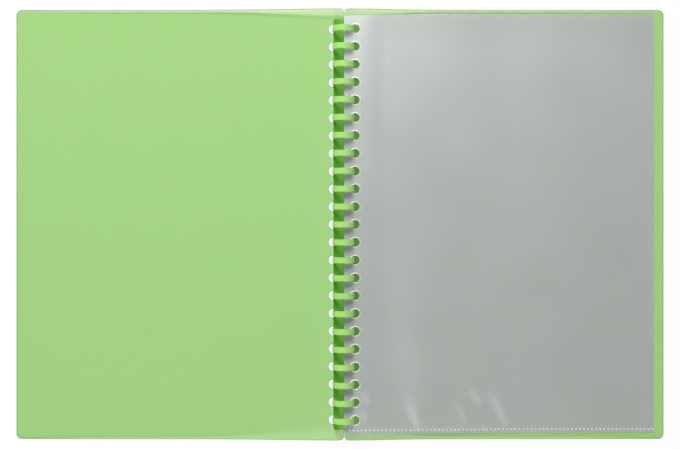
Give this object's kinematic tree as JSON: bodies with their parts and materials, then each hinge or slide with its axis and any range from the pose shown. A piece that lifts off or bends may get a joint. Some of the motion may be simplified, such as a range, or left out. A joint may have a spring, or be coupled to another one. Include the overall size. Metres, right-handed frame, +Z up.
{
  "type": "clear pocket display book",
  "caption": "Comb-bound display book lying open, with translucent covers and a stack of clear, top-loading film pockets.",
  "frame": {"origin": "on the table, under the middle of the open book", "axes": "+X across the spread towards the back cover, +Y up the page, +Z up from the table"},
  "size_m": [0.4662, 0.309, 0.0159],
  "materials": {
    "cover_sheet": "translucent satin sheet",
    "comb_plastic": "glossy translucent",
    "pocket_film": "clear glossy film"
  },
  "bodies": {
    "back_cover": {"back_cover": "cover_sheet"},
    "front_cover": {"front_cover": "cover_sheet"},
    "comb_binding": {"comb_binding": "comb_plastic"},
    "pocket_01": {"pocket_01_back_film": "pocket_film", "pocket_01_front_film": "pocket_film"},
    "pocket_02": {"pocket_02_back_film": "pocket_film", "pocket_02_front_film": "pocket_film"},
    "pocket_03": {"pocket_03_back_film": "pocket_film", "pocket_03_front_film": "pocket_film"},
    "pocket_04": {"pocket_04_back_film": "pocket_film", "pocket_04_front_film": "pocket_film"},
    "pocket_05": {"pocket_05_back_film": "pocket_film", "pocket_05_front_film": "pocket_film"},
    "pocket_06": {"pocket_06_back_film": "pocket_film", "pocket_06_front_film": "pocket_film"},
    "pocket_07": {"pocket_07_back_film": "pocket_film", "pocket_07_front_film": "pocket_film"},
    "pocket_08": {"pocket_08_back_film": "pocket_film", "pocket_08_front_film": "pocket_film"},
    "pocket_09": {"pocket_09_back_film": "pocket_film", "pocket_09_front_film": "pocket_film"},
    "pocket_10": {"pocket_10_back_film": "pocket_film", "pocket_10_front_film": "pocket_film"}
  },
  "joints": [
    {"name": "front_cover_fold", "type": "hinge", "parent": "back_cover", "child": "front_cover", "pos_m": [0.0025, 0, 0.00885], "axis": [0, 1, 0], "range_deg": [0, 183]},
    {"name": "comb_roll", "type": "hinge", "parent": "back_cover", "child": "comb_binding", "pos_m": [0.0025, 0, 0.008], "axis": [0, -1, 0], "range_deg": [0, 60]},
    {"name": "pocket_01_turn", "type": "hinge", "parent": "back_cover", "child": "pocket_01", "pos_m": [0.0025, 0, 0.00885], "axis": [0, -1, 0], "range_deg": [0, 183]},
    {"name": "pocket_02_turn", "type": "hinge", "parent": "back_cover", "child": "pocket_02", "pos_m": [0.0025, 0, 0.00885], "axis": [0, -1, 0], "range_deg": [0, 183]},
    {"name": "pocket_03_turn", "type": "hinge", "parent": "back_cover", "child": "pocket_03", "pos_m": [0.0025, 0, 0.00885], "axis": [0, -1, 0], "range_deg": [0, 183]},
    {"name": "pocket_04_turn", "type": "hinge", "parent": "back_cover", "child": "pocket_04", "pos_m": [0.0025, 0, 0.00885], "axis": [0, -1, 0], "range_deg": [0, 183]},
    {"name": "pocket_05_turn", "type": "hinge", "parent": "back_cover", "child": "pocket_05", "pos_m": [0.0025, 0, 0.00885], "axis": [0, -1, 0], "range_deg": [0, 183]},
    {"name": "pocket_06_turn", "type": "hinge", "parent": "back_cover", "child": "pocket_06", "pos_m": [0.0025, 0, 0.00885], "axis": [0, -1, 0], "range_deg": [0, 183]},
    {"name": "pocket_07_turn", "type": "hinge", "parent": "back_cover", "child": "pocket_07", "pos_m": [0.0025, 0, 0.00885], "axis": [0, -1, 0], "range_deg": [0, 183]},
    {"name": "pocket_08_turn", "type": "hinge", "parent": "back_cover", "child": "pocket_08", "pos_m": [0.0025, 0, 0.00885], "axis": [0, -1, 0], "range_deg": [0, 183]},
    {"name": "pocket_09_turn", "type": "hinge", "parent": "back_cover", "child": "pocket_09", "pos_m": [0.0025, 0, 0.00885], "axis": [0, -1, 0], "range_deg": [0, 183]},
    {"name": "pocket_10_turn", "type": "hinge", "parent": "back_cover", "child": "pocket_10", "pos_m": [0.0025, 0, 0.00885], "axis": [0, -1, 0], "range_deg": [0, 183]}
  ],
  "couplings": [
    {"joint": "pocket_02_turn", "follows": "pocket_01_turn", "ratio": 0.99},
    {"joint": "pocket_03_turn", "follows": "pocket_01_turn", "ratio": 0.98},
    {"joint": "pocket_04_turn", "follows": "pocket_01_turn", "ratio": 0.97},
    {"joint": "pocket_05_turn", "follows": "pocket_01_turn", "ratio": 0.96},
    {"joint": "pocket_06_turn", "follows": "pocket_01_turn", "ratio": 0.95},
    {"joint": "pocket_07_turn", "follows": "pocket_01_turn", "ratio": 0.94},
    {"joint": "pocket_08_turn", "follows": "pocket_01_turn", "ratio": 0.93},
    {"joint": "pocket_09_turn", "follows": "pocket_01_turn", "ratio": 0.92},
    {"joint": "pocket_10_turn", "follows": "pocket_01_turn", "ratio": 0.91}
  ]
}
